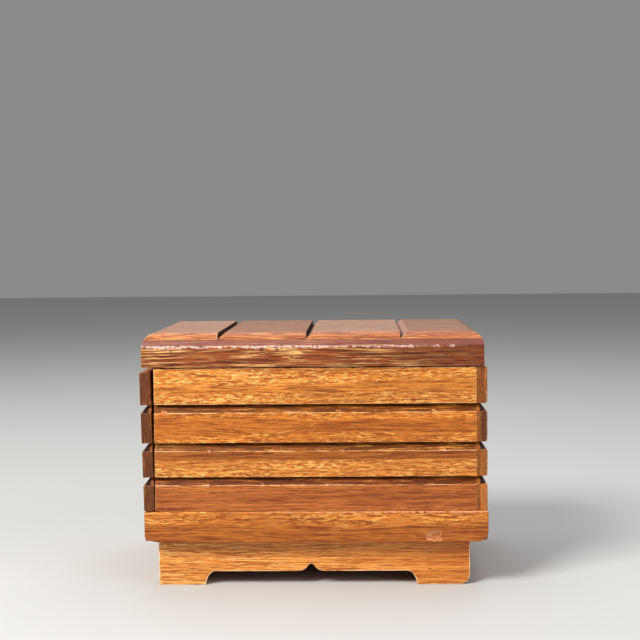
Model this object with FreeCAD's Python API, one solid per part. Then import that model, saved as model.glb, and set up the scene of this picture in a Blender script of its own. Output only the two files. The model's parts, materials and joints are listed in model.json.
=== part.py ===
import FreeCAD, Part
import math
import os

from FreeCAD import Vector

# A secret-opening wooden box. A plain inner box stands on a thick base board with a bracket plinth, and is
# clad with courses of strips that are chamfered along one edge. The lid is a thick board under four strips
# of the same stock, hinged at the back. The left side panel is loose: it slides forward on a dovetailed
# runner and bares a slot in the wall behind it, where a peg moves the wooden bolt that holds the lid.
# Millimetres, +Z up, the front towards -Y, the origin on the ground under the middle of the base board.

# Plinth: four boards with a bracket cut-out, set back under the base board
PLINTH_HEIGHT = 17.6
PLINTH_THICKNESS = 7.0
PLINTH_SETBACK_FRONT = 5.8
PLINTH_SETBACK_LEFT = 4.5
PLINTH_SETBACK_RIGHT = 6.5
ARCH_HEIGHT = 5.2
ARCH_END_RUN = 2.9
FOOT_LEFT = 18.1
FOOT_RIGHT = 20.3
FOOT_SIDE = 18.2
CUSP_HALF_WIDTH = 5.0
CUSP_HEIGHT = 2.8
CUSP_TIP_HALF_WIDTH = 1.2
CUSP_SHOULDER = 2.0
CORNER_BLOCK_SIDE = 9.0
CORNER_BLOCK_HEIGHT = 10.0

# Base board, which stands a little proud of the cladding
BASE_WIDTH = 130.0
BASE_DEPTH = 90.0
BASE_THICKNESS = 11.8
BASE_EDGE_ROUND = 0.5
LEDGE_FRONT = 0.8
LEDGE_SIDE = 0.2

# Cladding strips in courses from the top down; all but the top one have their upper edge chamfered
COURSE_HEIGHTS = (13.9, 14.5, 13.0, 13.0)
STRIP_THICKNESS = 2.9
CHAMFER_DEPTH = 2.6
CHAMFER_RUN = 3.1

# Inner box, and the thin boards that carry the side strips
WALL_THICKNESS = 6.0
PANEL_BACK_THICKNESS = 1.1

# Loose left panel: it runs on a dovetail and leans out a little at the top
PANEL_TRAVEL = 26.0
PANEL_CLEARANCE = 0.3
PANEL_TOP_GAP = 1.4
PANEL_LEAN = 1.2
RUNNER_DEPTH = 3.0
RUNNER_HEIGHT = 16.0
RUNNER_FLARE = 1.5
RUNNER_LEVEL = 18.5
RUNNER_CLEARANCE = 0.8
RUNNER_END_GAP = 0.2

# Lid: a board under four strips, the upper edges of the whole block rounded over
LID_GAP = 0.3
LID_PROUD_FRONT = 0.8
LID_PROUD_LEFT = 0.4
LID_SHORT_RIGHT = 1.2
LID_BOARD_THICKNESS = 10.2
LID_ROUND_RISE = 5.4
LID_ROUND_FRONT = 7.0
LID_ROUND_SIDE = 5.4
LID_STRIP_WIDTHS = (28.7, 33.4, 35.4)
LID_STRIP_THICKNESS = 2.8
LID_CHAMFER_DEPTH = 2.5
LID_CHAMFER_RUN = 2.9
LID_OPEN_ANGLE = 105.0

# Butt hinges let into the lid and the back wall
HINGE_LENGTH = 18.0
HINGE_FROM_END = 22.8
HINGE_SETBACK = 1.2
LEAF_THICKNESS = 0.9
LEAF_DEPTH = 6.0
KNUCKLE_RADIUS = 1.6
KNUCKLE_MIDDLE = 6.0
KNUCKLE_END_GAP = 0.15
KNUCKLE_CLEARANCE = 0.3
PIN_RADIUS = 0.75
PIN_CLEARANCE = 0.05
PIN_OVERHANG = 0.3
MORTISE_CLEARANCE = 0.5

# Countersunk hinge screws, two to a leaf
SCREW_HEAD_RADIUS = 1.3
SCREW_RADIUS = 0.7
SCREW_LENGTH = 5.0
SCREW_SPACING = 11.0
SCREW_FROM_AXIS = 3.7
SCREW_SLOT = 0.35
SCREW_CLEARANCE = 0.05

# Bolt inside the left wall, its peg, its two guides, and the keeper under the lid
BOLT_LENGTH = 44.0
BOLT_HEIGHT = 6.0
BOLT_THICKNESS = 4.0
BOLT_TRAVEL = 6.0
BOLT_BELOW_RIM = 4.5
BOLT_FROM_BACK = 2.5
BOLT_CLEARANCE = 0.25
BOLT_NOSE_TAPER = 1.2
PEG_RADIUS = 1.6
PEG_FROM_END = 3.5
PEG_IN_BOLT = 2.6
PEG_RECESS = 0.3
GUIDE_LENGTH = 6.0
GUIDE_WALL = 2.2
GUIDE_FROM_NOSE = 4.0
GUIDE_FROM_PEG = 12.0
KEEPER_LENGTH = 10.0
KEEPER_WIDTH = 7.0
KEEPER_LIP = 2.4
KEEPER_GAP = 1.0

# Levels and faces that follow from the sizes above
BASE_TOP = PLINTH_HEIGHT + BASE_THICKNESS
WALL_TOP = BASE_TOP + sum(COURSE_HEIGHTS)
LID_BOTTOM = WALL_TOP + LID_GAP
LID_JOINT = LID_BOTTOM + LID_BOARD_THICKNESS
LID_TOP = LID_JOINT + LID_STRIP_THICKNESS
PLINTH_LEFT = PLINTH_SETBACK_LEFT - BASE_WIDTH / 2
PLINTH_RIGHT = BASE_WIDTH / 2 - PLINTH_SETBACK_RIGHT
PLINTH_Y = BASE_DEPTH / 2 - PLINTH_SETBACK_FRONT
FACE_X = BASE_WIDTH / 2 - LEDGE_SIDE
FACE_Y = BASE_DEPTH / 2 - LEDGE_FRONT
LID_Y = FACE_Y + LID_PROUD_FRONT
LID_LEFT = -FACE_X - LID_PROUD_LEFT
LID_RIGHT = FACE_X - LID_SHORT_RIGHT
LID_JOINTS = [LID_LEFT + sum(LID_STRIP_WIDTHS[:count]) for count in range(4)] + [LID_RIGHT]
CARCASS_X = FACE_X - STRIP_THICKNESS - PANEL_BACK_THICKNESS
CARCASS_Y = FACE_Y - STRIP_THICKNESS
INSIDE_X = CARCASS_X - WALL_THICKNESS
INSIDE_Y = CARCASS_Y - WALL_THICKNESS
PANEL_INNER_X = -CARCASS_X - PANEL_CLEARANCE
PANEL_BOTTOM = BASE_TOP + PANEL_CLEARANCE
PANEL_TOP = WALL_TOP - PANEL_TOP_GAP
RUNNER_Z = BASE_TOP + RUNNER_LEVEL
AXIS_Y = FACE_Y - HINGE_SETBACK
AXIS_Z = WALL_TOP + LID_GAP / 2
HINGE_X = CARCASS_X - HINGE_FROM_END
BOLT_LEFT = BOLT_CLEARANCE - INSIDE_X
BOLT_RIGHT = BOLT_LEFT + BOLT_THICKNESS
BOLT_TOP = WALL_TOP - BOLT_BELOW_RIM
BOLT_BOTTOM = BOLT_TOP - BOLT_HEIGHT
BOLT_END = INSIDE_Y - BOLT_FROM_BACK
BOLT_NOSE = BOLT_END - BOLT_LENGTH
PEG_Y = BOLT_END - PEG_FROM_END
PEG_Z = (BOLT_TOP + BOLT_BOTTOM) / 2

# How far a cutting shape runs past the face that it cuts
OVERCUT = 1.0


def block(x, y, z):
    """A box between two values on each axis."""
    return Part.makeBox(x[1] - x[0], y[1] - y[0], z[1] - z[0], Vector(x[0], y[0], z[0]))


def rod(radius, x, y, z):
    """A cylinder along X between two x values."""
    return Part.makeCylinder(radius, x[1] - x[0], Vector(x[0], y, z), Vector(1, 0, 0))


def trace(start, steps, place):
    """A face in a closed outline. A step is the end of a line, or the (via, end) points of an arc."""
    edges = []
    here = start
    for step in steps:
        if isinstance(step[0], tuple):
            via, end = step
            edges.append(Part.Arc(place(here), place(via), place(end)).toShape())
        else:
            end = step
            edges.append(Part.LineSegment(place(here), place(end)).toShape())
        here = end
    edges.append(Part.LineSegment(place(here), place(start)).toShape())
    return Part.Face(Part.Wire(edges))


def along_x(x, start, *steps):
    """Extrude an outline of (y, z) points between two x values."""
    face = trace(start, steps, lambda p: Vector(x[0], p[0], p[1]))
    return face.extrude(Vector(x[1] - x[0], 0, 0))


def along_y(y, start, *steps):
    """Extrude an outline of (x, z) points between two y values."""
    face = trace(start, steps, lambda p: Vector(p[0], y[0], p[1]))
    return face.extrude(Vector(0, y[1] - y[0], 0))


def bend(start, end, axis):
    """A point halfway along the arc that leaves start in line with an axis and ends at end."""
    run = end[axis] - start[axis]
    rise = end[1 - axis] - start[1 - axis]
    turn = 2 * math.atan(rise / run)
    radius = run / math.sin(turn)
    via = [0.0, 0.0]
    via[axis] = start[axis] + radius * math.sin(turn / 2)
    via[1 - axis] = start[1 - axis] + radius * (1 - math.cos(turn / 2))
    return tuple(via)


def arch(low, high):
    """Outline of a bracket cut-out: coved ends, a flat head and an ogee cusp in the middle of it."""
    middle = (low + high) / 2
    ends = {}
    for side, end in ((1, high), (-1, low)):
        foot = (end, 0.0)
        head = (end - side * ARCH_END_RUN, ARCH_HEIGHT)
        root = (middle + side * CUSP_HALF_WIDTH, ARCH_HEIGHT)
        shoulder = (middle + side * CUSP_TIP_HALF_WIDTH, ARCH_HEIGHT + CUSP_SHOULDER)
        ends[side] = foot, head, root, shoulder
    foot, head, root, shoulder = ends[1]
    far_foot, far_head, far_root, far_shoulder = ends[-1]
    steps = [
        foot,
        (bend(foot, head, 1), head),
        root,
        (bend(root, shoulder, 0), shoulder),
        ((middle, ARCH_HEIGHT + CUSP_HEIGHT), far_shoulder),
        (bend(far_root, far_shoulder, 0), far_root),
        far_head,
        (bend(far_foot, far_head, 1), far_foot),
        (far_foot[0], -OVERCUT),
    ]
    return (foot[0], -OVERCUT), steps


def plinth():
    """The four plinth boards, the front and back ones over the ends of the others, and their glue blocks."""
    low = (0.0, PLINTH_HEIGHT)
    width = (PLINTH_LEFT, PLINTH_RIGHT)
    inner_left = PLINTH_LEFT + PLINTH_THICKNESS
    inner_right = PLINTH_RIGHT - PLINTH_THICKNESS
    inner_y = PLINTH_Y - PLINTH_THICKNESS
    start, steps = arch(PLINTH_LEFT + FOOT_LEFT, PLINTH_RIGHT - FOOT_RIGHT)
    long_cut = along_y((-PLINTH_Y - OVERCUT, PLINTH_Y + OVERCUT), start, *steps)
    start, steps = arch(FOOT_SIDE - PLINTH_Y, PLINTH_Y - FOOT_SIDE)
    side_cut = along_x((PLINTH_LEFT - OVERCUT, PLINTH_RIGHT + OVERCUT), start, *steps)
    blocks = []
    for x, inwards in ((inner_left, 1), (inner_right, -1)):
        for side in (-1, 1):
            corner = Vector(x, side * inner_y, PLINTH_HEIGHT - CORNER_BLOCK_HEIGHT)
            legs = (Vector(inwards * CORNER_BLOCK_SIDE, 0, 0), Vector(0, -side * CORNER_BLOCK_SIDE, 0))
            outline = Part.makePolygon([corner, corner + legs[0], corner + legs[1], corner])
            blocks.append(Part.Face(outline).extrude(Vector(0, 0, CORNER_BLOCK_HEIGHT)))
    return {
        "plinth_front": block(width, (-PLINTH_Y, -inner_y), low).cut(long_cut),
        "plinth_back": block(width, (inner_y, PLINTH_Y), low).cut(long_cut),
        "plinth_left": block((PLINTH_LEFT, inner_left), (-inner_y, inner_y), low).cut(side_cut),
        "plinth_right": block((inner_right, PLINTH_RIGHT), (-inner_y, inner_y), low).cut(side_cut),
        "plinth_corner_blocks": Part.makeCompound(blocks),
    }


def base_board():
    """The thick board that the walls stand on, its long arrises eased."""
    board = block(
        (-BASE_WIDTH / 2, BASE_WIDTH / 2),
        (-BASE_DEPTH / 2, BASE_DEPTH / 2),
        (PLINTH_HEIGHT, BASE_TOP),
    )
    return board.makeFillet(BASE_EDGE_ROUND, board.Edges)


def strip_sections(bottom, top):
    """Number and (outward, z) section of each course from the top down, between a panel's edges."""
    high = WALL_TOP
    for number, height in enumerate(COURSE_HEIGHTS, start=1):
        low = high - height
        first = max(low, bottom)
        last = min(high, top)
        section = [(0.0, first), (STRIP_THICKNESS, first)]
        if number == 1:
            section.append((STRIP_THICKNESS, last))
        else:
            section.append((STRIP_THICKNESS, last - CHAMFER_RUN))
            section.append((STRIP_THICKNESS - CHAMFER_DEPTH, last))
        section.append((0.0, last))
        yield number, section
        high = low


def front_and_back_strips(hinge_cuts):
    """Courses on the front and back walls, between the side panels."""
    shapes = {}
    span = (-CARCASS_X, CARCASS_X)
    for number, section in strip_sections(BASE_TOP, WALL_TOP):
        shapes[f"front_strip_{number}"] = along_x(span, *[(-CARCASS_Y - out, z) for out, z in section])
        shapes[f"back_strip_{number}"] = along_x(span, *[(CARCASS_Y + out, z) for out, z in section])
    shapes["back_strip_1"] = shapes["back_strip_1"].cut(rear_chamfer(-1)).cut(hinge_cuts)
    return shapes


def groove_ends():
    """Wedges that carry the grooves of the front and the back across the ends of the side panels."""
    wedges = []
    reach = FACE_X + PANEL_CLEARANCE + OVERCUT
    for count in range(1, len(COURSE_HEIGHTS)):
        top = WALL_TOP - sum(COURSE_HEIGHTS[:count])
        low = top - CHAMFER_RUN
        for side in (-1, 1):
            inner = side * (FACE_Y - CHAMFER_DEPTH)
            outer = side * (FACE_Y + OVERCUT)
            wedges.append(along_x((-reach, reach), (inner, top), (side * FACE_Y, low), (outer, low), (outer, top)))
    return wedges


def right_panel():
    """Fixed right panel: a thin board against the wall, and its courses."""
    span = (-FACE_Y, FACE_Y)
    outer = CARCASS_X + PANEL_BACK_THICKNESS
    shapes = {"right_panel_back": block((CARCASS_X, outer), span, (BASE_TOP, WALL_TOP))}
    for number, section in strip_sections(BASE_TOP, WALL_TOP):
        shapes[f"right_strip_{number}"] = along_y(span, *[(outer + out, z) for out, z in section])
    for name in ("right_panel_back", "right_strip_1"):
        shapes[name] = shapes[name].cut(rear_chamfer(-1))
    return {name: shape.cut(groove_ends()) for name, shape in shapes.items()}


def runner_section(clearance):
    """Dovetail section as (x, z) points, from the panel inwards, widened by a clearance."""
    root = RUNNER_HEIGHT / 2 - RUNNER_FLARE + clearance
    tail = RUNNER_HEIGHT / 2 + clearance
    inner = PANEL_INNER_X + RUNNER_DEPTH + clearance
    return [
        (PANEL_INNER_X, RUNNER_Z - root),
        (inner, RUNNER_Z - tail),
        (inner, RUNNER_Z + tail),
        (PANEL_INNER_X, RUNNER_Z + root),
    ]


def left_panel():
    """Loose left panel: its board, its courses and its runner, leaning out about its lower inner edge."""
    span = (-FACE_Y, FACE_Y)
    outer = PANEL_INNER_X - PANEL_BACK_THICKNESS
    runner_end = INSIDE_Y - RUNNER_END_GAP
    runner_front = PANEL_TRAVEL + RUNNER_END_GAP - INSIDE_Y
    shapes = {
        "left_panel_back": block((outer, PANEL_INNER_X), span, (PANEL_BOTTOM, PANEL_TOP)),
        "panel_runner": along_y((runner_front, runner_end), *runner_section(0.0)),
    }
    for number, section in strip_sections(PANEL_BOTTOM, PANEL_TOP):
        shapes[f"left_strip_{number}"] = along_y(span, *[(outer - out, z) for out, z in section])
    for name, shape in shapes.items():
        shapes[name] = shape.cut(groove_ends())
        shapes[name].rotate(Vector(PANEL_INNER_X, 0, PANEL_BOTTOM), Vector(0, 1, 0), -PANEL_LEAN)
    return shapes


def inner_walls(hinge_cuts):
    """The plain inner box: long walls in front and behind, short ones between them."""
    level = (BASE_TOP, WALL_TOP)
    width = (-CARCASS_X, CARCASS_X)
    depth = (-INSIDE_Y, INSIDE_Y)
    left = block((-CARCASS_X, -INSIDE_X), depth, level)
    left = left.cut(along_y(depth, *runner_section(RUNNER_CLEARANCE)))
    return {
        "front_wall": block(width, (-CARCASS_Y, -INSIDE_Y), level),
        "back_wall": block(width, (INSIDE_Y, CARCASS_Y), level).cut(hinge_cuts),
        "left_wall": left.cut(peg_slot()),
        "right_wall": block((INSIDE_X, CARCASS_X), depth, level),
    }


def peg_slot():
    """Round-ended slot through the left wall, as long as the bolt's travel."""
    across = (-CARCASS_X - OVERCUT, OVERCUT - INSIDE_X)
    radius = PEG_RADIUS + BOLT_CLEARANCE
    slot = block(across, (PEG_Y - BOLT_TRAVEL, PEG_Y), (PEG_Z - radius, PEG_Z + radius))
    for y in (PEG_Y - BOLT_TRAVEL, PEG_Y):
        slot = slot.fuse(rod(radius, across, y, PEG_Z))
    return slot.removeSplitter()


def bolt_and_peg():
    """The wooden bolt, drawn back, with its tapered nose, and the peg that moves it."""
    shank = BOLT_NOSE + 2 * BOLT_NOSE_TAPER
    bolt = along_x(
        (BOLT_LEFT, BOLT_RIGHT),
        (BOLT_END, BOLT_BOTTOM),
        (BOLT_END, BOLT_TOP),
        (shank, BOLT_TOP),
        (BOLT_NOSE, BOLT_TOP - BOLT_NOSE_TAPER),
        (BOLT_NOSE, BOLT_BOTTOM + BOLT_NOSE_TAPER),
        (shank, BOLT_BOTTOM),
    )
    peg = rod(PEG_RADIUS, (PEG_RECESS - CARCASS_X, BOLT_LEFT + PEG_IN_BOLT), PEG_Y, PEG_Z)
    return {"lock_bolt": bolt.cut(peg), "bolt_peg": peg}


def guide(front):
    """A block glued to the left wall, with a channel that holds the bolt against the wall."""
    y = (front, front + GUIDE_LENGTH)
    channel_x = BOLT_RIGHT + BOLT_CLEARANCE
    channel_z = (BOLT_BOTTOM - BOLT_CLEARANCE, BOLT_TOP + BOLT_CLEARANCE)
    body = block(
        (-INSIDE_X, channel_x + GUIDE_WALL),
        y,
        (channel_z[0] - GUIDE_WALL, channel_z[1] + GUIDE_WALL),
    )
    edges = [e for e in body.Edges if e.BoundBox.XMin > channel_x and e.BoundBox.YLength > OVERCUT]
    body = body.makeChamfer(GUIDE_WALL / 2, edges)
    return body.cut(block((-INSIDE_X - OVERCUT, channel_x), (y[0] - OVERCUT, y[1] + OVERCUT), channel_z))


def keeper():
    """The block under the lid whose lip the bolt's nose slides over."""
    left = 2 * BOLT_CLEARANCE - INSIDE_X
    back = BOLT_NOSE - KEEPER_GAP
    body = block(
        (left, left + KEEPER_WIDTH),
        (back - KEEPER_LENGTH, back),
        (BOLT_BOTTOM - BOLT_CLEARANCE - KEEPER_LIP, LID_BOTTOM),
    )
    pocket = block(
        (left - OVERCUT, BOLT_RIGHT + 2 * BOLT_CLEARANCE),
        (back - BOLT_TRAVEL, back + OVERCUT),
        (BOLT_BOTTOM - BOLT_CLEARANCE, BOLT_TOP + BOLT_CLEARANCE),
    )
    return body.cut(pocket)


def rear_chamfer(side):
    """Bevel behind the hinge line, on the lid (1) or the back (-1), which stops the lid when it stands open."""
    edge = AXIS_Z + side * LID_GAP / 2
    reach = LID_Y + OVERCUT - AXIS_Y
    rise = reach * math.tan(math.radians(LID_OPEN_ANGLE / 2))
    far = AXIS_Y + reach
    span = (LID_LEFT - OVERCUT, FACE_X + OVERCUT)
    return along_x(span, (AXIS_Y, edge), (far, edge), (far, edge + side * rise))


def screw(x, side, clearance):
    """A countersunk screw through a leaf on the lid (1) or the back (-1), widened by a clearance."""
    top = AXIS_Z + side * LID_GAP / 2
    y = AXIS_Y - SCREW_FROM_AXIS
    into = Vector(0, 0, side)
    seat = Vector(x, y, top + side * LEAF_THICKNESS)
    head = Part.makeCone(
        SCREW_HEAD_RADIUS + clearance, SCREW_RADIUS + clearance, LEAF_THICKNESS, Vector(x, y, top), into
    )
    return head.fuse(Part.makeCylinder(SCREW_RADIUS + clearance, SCREW_LENGTH, seat, into))


def slotted_screw(x, side):
    """The screw itself, with the slot across its head."""
    top = AXIS_Z + side * LID_GAP / 2
    y = AXIS_Y - SCREW_FROM_AXIS
    reach = SCREW_HEAD_RADIUS + OVERCUT
    levels = sorted((top - side * OVERCUT, top + side * SCREW_SLOT))
    slot = block((x - reach, x + reach), (y - SCREW_SLOT / 2, y + SCREW_SLOT / 2), levels)
    return screw(x, side, 0.0).cut(slot)


def screw_places(centre):
    """The x of each screw in a leaf."""
    return centre - SCREW_SPACING / 2, centre + SCREW_SPACING / 2


def knuckles(centre, middle):
    """Spans of the middle knuckle, or of the two outer ones, along the pin."""
    half = KNUCKLE_MIDDLE / 2
    if middle:
        return [(centre - half, centre + half)]
    outer = HINGE_LENGTH / 2
    inner = half + KNUCKLE_END_GAP
    return [(centre - outer, centre - inner), (centre + inner, centre + outer)]


def leaf(centre, side):
    """A hinge leaf with its knuckles: the lid's (1) has the middle one, the back's (-1) the outer two."""
    face = AXIS_Z + side * LID_GAP / 2
    span = (centre - HINGE_LENGTH / 2, centre + HINGE_LENGTH / 2)
    levels = sorted((face, face + side * LEAF_THICKNESS))
    shape = block(span, (AXIS_Y - LEAF_DEPTH, AXIS_Y), levels)
    for low, high in knuckles(centre, side < 0):
        room = (low - KNUCKLE_END_GAP, high + KNUCKLE_END_GAP)
        shape = shape.cut(rod(KNUCKLE_RADIUS + KNUCKLE_CLEARANCE, room, AXIS_Y, AXIS_Z))
    for ends in knuckles(centre, side > 0):
        shape = shape.fuse(rod(KNUCKLE_RADIUS, ends, AXIS_Y, AXIS_Z))
    bore = (span[0] - OVERCUT, span[1] + OVERCUT)
    shape = shape.cut(rod(PIN_RADIUS + PIN_CLEARANCE, bore, AXIS_Y, AXIS_Z))
    for x in screw_places(centre):
        shape = shape.cut(screw(x, side, SCREW_CLEARANCE))
    return shape.removeSplitter()


def hinge_cut(centre, side):
    """The mortise, barrel hollow and screw holes for one leaf in the lid (1) or the back (-1)."""
    face = AXIS_Z + side * LID_GAP / 2
    half = HINGE_LENGTH / 2 + MORTISE_CLEARANCE
    span = (centre - half, centre + half)
    levels = sorted((face - side * OVERCUT, face + side * LEAF_THICKNESS))
    back = LID_Y + OVERCUT
    cut = block(span, (AXIS_Y - LEAF_DEPTH - MORTISE_CLEARANCE, back), levels)
    cut = cut.fuse(rod(KNUCKLE_RADIUS + KNUCKLE_CLEARANCE, span, AXIS_Y, AXIS_Z))
    for x in screw_places(centre):
        cut = cut.fuse(screw(x, side, SCREW_CLEARANCE))
    return cut


def hinges():
    """Both hinges: leaves and pins apart, the screws as one group for the lid and one for the back."""
    shapes = {}
    screws = {1: [], -1: []}
    for name, sign in (("left", -1), ("right", 1)):
        centre = sign * HINGE_X
        shapes[f"{name}_hinge_lid_leaf"] = leaf(centre, 1)
        shapes[f"{name}_hinge_back_leaf"] = leaf(centre, -1)
        half = HINGE_LENGTH / 2 + PIN_OVERHANG
        shapes[f"{name}_hinge_pin"] = rod(PIN_RADIUS, (centre - half, centre + half), AXIS_Y, AXIS_Z)
        for side in screws:
            screws[side] += [slotted_screw(x, side) for x in screw_places(centre)]
    shapes["hinge_screws_lid"] = Part.makeCompound(screws[1])
    shapes["hinge_screws_back"] = Part.makeCompound(screws[-1])
    return shapes


def hinge_cuts(side):
    """What both hinges take out of the lid (1) or the back (-1)."""
    return hinge_cut(-HINGE_X, side).fuse(hinge_cut(HINGE_X, side))


def rounded_outline(low, high, run):
    """Section of the lid between two edges, with its upper corners rounded over."""
    spring = LID_TOP - LID_ROUND_RISE
    near = (low + run, LID_TOP)
    far = (high - run, LID_TOP)
    return [
        (low, LID_BOTTOM),
        (low, spring),
        (bend(near, (low, spring), 0), near),
        far,
        (bend(far, (high, spring), 0), (high, spring)),
        (high, LID_BOTTOM),
    ]


def lid_strip(index, form):
    """One strip of the lid, cut from the rounded block, its left edge chamfered but for the first."""
    left, right = LID_JOINTS[index : index + 2]
    above = LID_TOP + OVERCUT
    toe = LID_TOP - LID_CHAMFER_DEPTH
    section = [(left, LID_JOINT), (right, LID_JOINT), (right, above)]
    if index == 0:
        section.append((left, above))
    else:
        slope = LID_CHAMFER_RUN / LID_CHAMFER_DEPTH
        section.append((left + slope * (above - toe), above))
        section.append((left, toe))
    return form.common(along_y((-LID_Y - OVERCUT, LID_Y + OVERCUT), *section))


def lid():
    """The lid's board, its four strips and the keeper glued under it."""
    depth = (-LID_Y, LID_Y)
    width = (LID_LEFT, LID_RIGHT)
    form = along_x(width, *rounded_outline(*depth, LID_ROUND_FRONT))
    form = form.common(along_y(depth, *rounded_outline(*width, LID_ROUND_SIDE)))
    board = form.common(block(width, depth, (LID_BOTTOM, LID_JOINT)))
    shapes = {"lid_board": board.cut(rear_chamfer(1)).cut(hinge_cuts(1)), "bolt_keeper": keeper()}
    for index in range(len(LID_JOINTS) - 1):
        shapes[f"lid_strip_{index + 1}"] = lid_strip(index, form)
    return shapes


def build():
    """Every piece of the box by name."""
    back_cuts = hinge_cuts(-1)
    pieces = {"base_board": base_board()}
    pieces.update(plinth())
    pieces.update(inner_walls(back_cuts))
    pieces.update(front_and_back_strips(back_cuts))
    pieces.update(right_panel())
    pieces.update(left_panel())
    pieces.update(bolt_and_peg())
    pieces["bolt_guide_front"] = guide(BOLT_NOSE + GUIDE_FROM_NOSE)
    pieces["bolt_guide_back"] = guide(PEG_Y - GUIDE_FROM_PEG - GUIDE_LENGTH)
    pieces.update(hinges())
    pieces.update(lid())
    return pieces


os.makedirs("parts", exist_ok=True)
for name, shape in build().items():
    shape.exportStep(f"parts/{name}.step")
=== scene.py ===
"""Visual model of a small strip-clad wooden puzzle box, dressed over its CAD frame.

Each visible piece is worked up from the CAD node that it stands for: the arrises are rounded, the long
faces are given the slight unevenness of hand work, and a procedural wood with its own tone, figure and
place in the plank is laid on it. Lengths in this file are millimetres unless a name says otherwise.
"""

import json
import logging
import math
import random
from collections.abc import Iterable
from dataclasses import dataclass, field, replace
from enum import Enum

import bmesh
import bpy
from mathutils import Matrix, Vector, noise

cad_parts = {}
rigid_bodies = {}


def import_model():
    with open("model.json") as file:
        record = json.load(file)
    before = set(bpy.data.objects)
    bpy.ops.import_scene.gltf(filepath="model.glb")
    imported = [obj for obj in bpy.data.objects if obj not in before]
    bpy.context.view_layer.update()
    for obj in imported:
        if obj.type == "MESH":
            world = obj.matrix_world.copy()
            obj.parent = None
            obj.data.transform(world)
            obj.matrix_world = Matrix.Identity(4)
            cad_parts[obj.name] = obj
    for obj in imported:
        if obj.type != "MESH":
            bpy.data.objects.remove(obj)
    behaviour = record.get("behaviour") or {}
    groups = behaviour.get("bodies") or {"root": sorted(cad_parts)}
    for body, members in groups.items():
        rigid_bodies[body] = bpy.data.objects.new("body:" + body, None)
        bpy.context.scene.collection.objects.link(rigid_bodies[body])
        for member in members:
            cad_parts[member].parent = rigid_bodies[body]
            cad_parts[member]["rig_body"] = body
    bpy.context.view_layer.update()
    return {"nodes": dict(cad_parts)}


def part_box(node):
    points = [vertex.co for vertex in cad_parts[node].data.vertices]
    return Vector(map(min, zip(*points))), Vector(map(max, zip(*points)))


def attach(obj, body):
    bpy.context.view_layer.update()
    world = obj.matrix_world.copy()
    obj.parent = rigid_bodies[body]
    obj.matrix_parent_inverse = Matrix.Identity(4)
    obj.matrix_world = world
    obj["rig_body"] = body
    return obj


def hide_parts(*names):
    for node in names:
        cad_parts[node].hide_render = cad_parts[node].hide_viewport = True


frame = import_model()

LOG = logging.getLogger("puzzle_box")
MM = 0.001
GROOVE_DEPTH = 2.6
CHAMFER_RUN = 3.1

Socket = bpy.types.NodeSocket
Colour = tuple[float, float, float, float]
Direction = tuple[float, float, float]

NOWHERE: Direction = (0.0, 0.0, 0.0)
AHEAD: Direction = (0.0, -1.0, 0.0)
BEHIND: Direction = (0.0, 1.0, 0.0)
LEFT: Direction = (-1.0, 0.0, 0.0)
RIGHT: Direction = (1.0, 0.0, 0.0)
ABOVE: Direction = (0.0, 0.0, 1.0)
BENEATH: Direction = (0.0, 0.0, -1.0)

WELD_DISTANCE = 0.001 * MM
CUT_TOLERANCE = 0.0001 * MM
FLAT_ANGLE = math.radians(0.5)
SHARP_ANGLE = math.radians(28)
DUST_AND_SHEEN_BLEND = 0.35
NICKS_START = -62.0
NICKS_RUN = 122.0
RIM_RATE = 1.1
TEAR_RATE = 1.3
TEAR_STEEPNESS = 1.3
SWELL_RATE, SWELL_SHARE = 0.09, 0.7
RIPPLE_RATE, RIPPLE_SHARE = 0.35, 0.3
LAMP_TARGET = (0.0, 0.0, 0.05)


def srgb(red: int, green: int, blue: int) -> Colour:
    """Turns a colour picked on screen, 0 to 255, into the linear colour that shaders use."""
    def linear(value: int) -> float:
        share = value / 255
        return share / 12.92 if share <= 0.04045 else ((share + 0.055) / 1.055) ** 2.4

    return (linear(red), linear(green), linear(blue), 1.0)


class Grain(Enum):
    """The way that the grain of a piece runs."""

    ALONG_X = "x"
    ALONG_Y = "y"
    ALONG_Z = "z"

    @property
    def turn(self) -> Direction:
        """The turn that lays the grain along X, where the wood group expects it."""
        turns = {
            Grain.ALONG_X: (0.0, 0.0, 0.0),
            Grain.ALONG_Y: (0.0, 0.0, -math.pi / 2),
            Grain.ALONG_Z: (0.0, math.pi / 2, 0.0),
        }
        return turns[self]

    @property
    def axis(self) -> Direction:
        """The direction of the grain."""
        axes = {
            Grain.ALONG_X: RIGHT,
            Grain.ALONG_Y: BEHIND,
            Grain.ALONG_Z: ABOVE,
        }
        return axes[self]


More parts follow.
